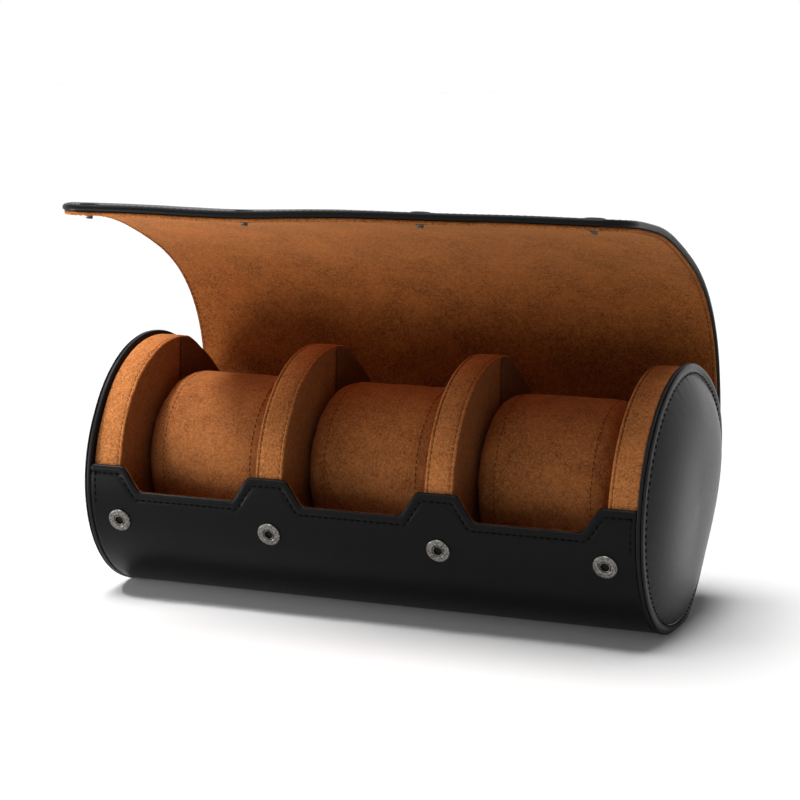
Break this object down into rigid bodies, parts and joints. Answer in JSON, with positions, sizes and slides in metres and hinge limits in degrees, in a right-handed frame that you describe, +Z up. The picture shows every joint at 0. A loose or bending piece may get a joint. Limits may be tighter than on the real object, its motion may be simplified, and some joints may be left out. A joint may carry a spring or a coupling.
{
  "type": "watch travel case",
  "caption": "Round black leather watch roll with suede-lined bays, removable watch cushions, padded ends and a flexible lid that snaps shut over the front",
  "frame": {"origin": "On the surface the case stands on, in the middle of its length and over the middle of its round section", "axes": "+X along the case's length to the right end cap, -Y the front with the snaps, +Z up"},
  "size_m": [0.2296, 0.1288, 0.1585],
  "materials": {
    "black_leather": "smooth semi-matte black leather with a fine grain and black stitching",
    "tan_suede": "tan microsuede with a soft cloudy nap",
    "stiff_board": "grey-brown pressed fibreboard stiffener",
    "foam": "pale open-cell foam padding",
    "snap_metal": "antique-silver plated snap fasteners"
  },
  "bodies": {
    "case": {"case_cover": "black_leather", "case_board": "stiff_board", "case_lining": "tan_suede", "left_cap_cover": "black_leather", "left_cap_pad": "foam", "left_cap_board": "stiff_board", "left_cap_edge": "black_leather", "right_cap_cover": "black_leather", "right_cap_pad": "foam", "right_cap_board": "stiff_board", "right_cap_edge": "black_leather", "divider_1_band": "tan_suede", "divider_1_faces": "tan_suede", "divider_1_core": "foam", "divider_2_band": "tan_suede", "divider_2_faces": "tan_suede", "divider_2_core": "foam", "divider_3_band": "tan_suede", "divider_3_faces": "tan_suede", "divider_3_core": "foam", "divider_4_band": "tan_suede", "divider_4_faces": "tan_suede", "divider_4_core": "foam", "snap_sockets": "snap_metal", "socket_springs": "snap_metal", "socket_backs": "snap_metal"},
    "spine": {"spine_cover": "black_leather", "spine_lining": "tan_suede"},
    "lid_panel_1": {"lid_cover_1": "black_leather", "lid_board_1": "stiff_board", "lid_lining_1": "tan_suede"},
    "lid_panel_2": {"lid_cover_2": "black_leather", "lid_board_2": "stiff_board", "lid_lining_2": "tan_suede"},
    "lid_panel_3": {"lid_cover_3": "black_leather", "lid_board_3": "stiff_board", "lid_lining_3": "tan_suede"},
    "lid_panel_4": {"lid_cover_4": "black_leather", "lid_board_4": "stiff_board", "lid_lining_4": "tan_suede"},
    "lid_panel_5": {"lid_cover_5": "black_leather", "lid_board_5": "stiff_board", "lid_lining_5": "tan_suede", "snap_studs": "snap_metal", "stud_caps": "black_leather"},
    "cushion_1": {"cushion_1_sleeve": "tan_suede", "cushion_1_ends": "tan_suede", "cushion_1_foam": "foam"},
    "cushion_2": {"cushion_2_sleeve": "tan_suede", "cushion_2_ends": "tan_suede", "cushion_2_foam": "foam"},
    "cushion_3": {"cushion_3_sleeve": "tan_suede", "cushion_3_ends": "tan_suede", "cushion_3_foam": "foam"}
  },
  "joints": [
    {"name": "lid_fold", "type": "hinge", "parent": "case", "child": "spine", "pos_m": [0, 0.04954, 0.0409], "axis": [1, 0, 0], "range_deg": [-85, 0]},
    {"name": "lid_wrap", "type": "hinge", "parent": "spine", "child": "lid_panel_1", "pos_m": [0, 0.0509, 0.049], "axis": [1, 0, 0], "range_deg": [-2, 13.77]},
    {"name": "lid_flex_2", "type": "hinge", "parent": "lid_panel_1", "child": "lid_panel_2", "pos_m": [0, 0.04644, 0.08536], "axis": [1, 0, 0], "range_deg": [-2.99, 20.55]},
    {"name": "lid_flex_3", "type": "hinge", "parent": "lid_panel_2", "child": "lid_panel_3", "pos_m": [0, 0.02924, 0.1177], "axis": [1, 0, 0], "range_deg": [-1.64, 11.25]},
    {"name": "lid_flex_4", "type": "hinge", "parent": "lid_panel_3", "child": "lid_panel_4", "pos_m": [0, -0.00193, 0.13695], "axis": [1, 0, 0], "range_deg": [-3.73, 25.65]},
    {"name": "lid_flex_5", "type": "hinge", "parent": "lid_panel_4", "child": "lid_panel_5", "pos_m": [0, -0.03718, 0.14693], "axis": [1, 0, 0], "range_deg": [-5.23, 35.95]},
    {"name": "cushion_1_lift", "type": "slide", "parent": "case", "child": "cushion_1", "axis": [0, 0, 1], "range_m": [0, 0.012]},
    {"name": "cushion_2_lift", "type": "slide", "parent": "case", "child": "cushion_2", "axis": [0, 0, 1], "range_m": [0, 0.012]},
    {"name": "cushion_3_lift", "type": "slide", "parent": "case", "child": "cushion_3", "axis": [0, 0, 1], "range_m": [0, 0.012]}
  ],
  "couplings": [
    {"joint": "lid_flex_2", "follows": "lid_wrap", "ratio": 1.4916},
    {"joint": "lid_flex_3", "follows": "lid_wrap", "ratio": 0.8163},
    {"joint": "lid_flex_4", "follows": "lid_wrap", "ratio": 1.862},
    {"joint": "lid_flex_5", "follows": "lid_wrap", "ratio": 2.61}
  ]
}
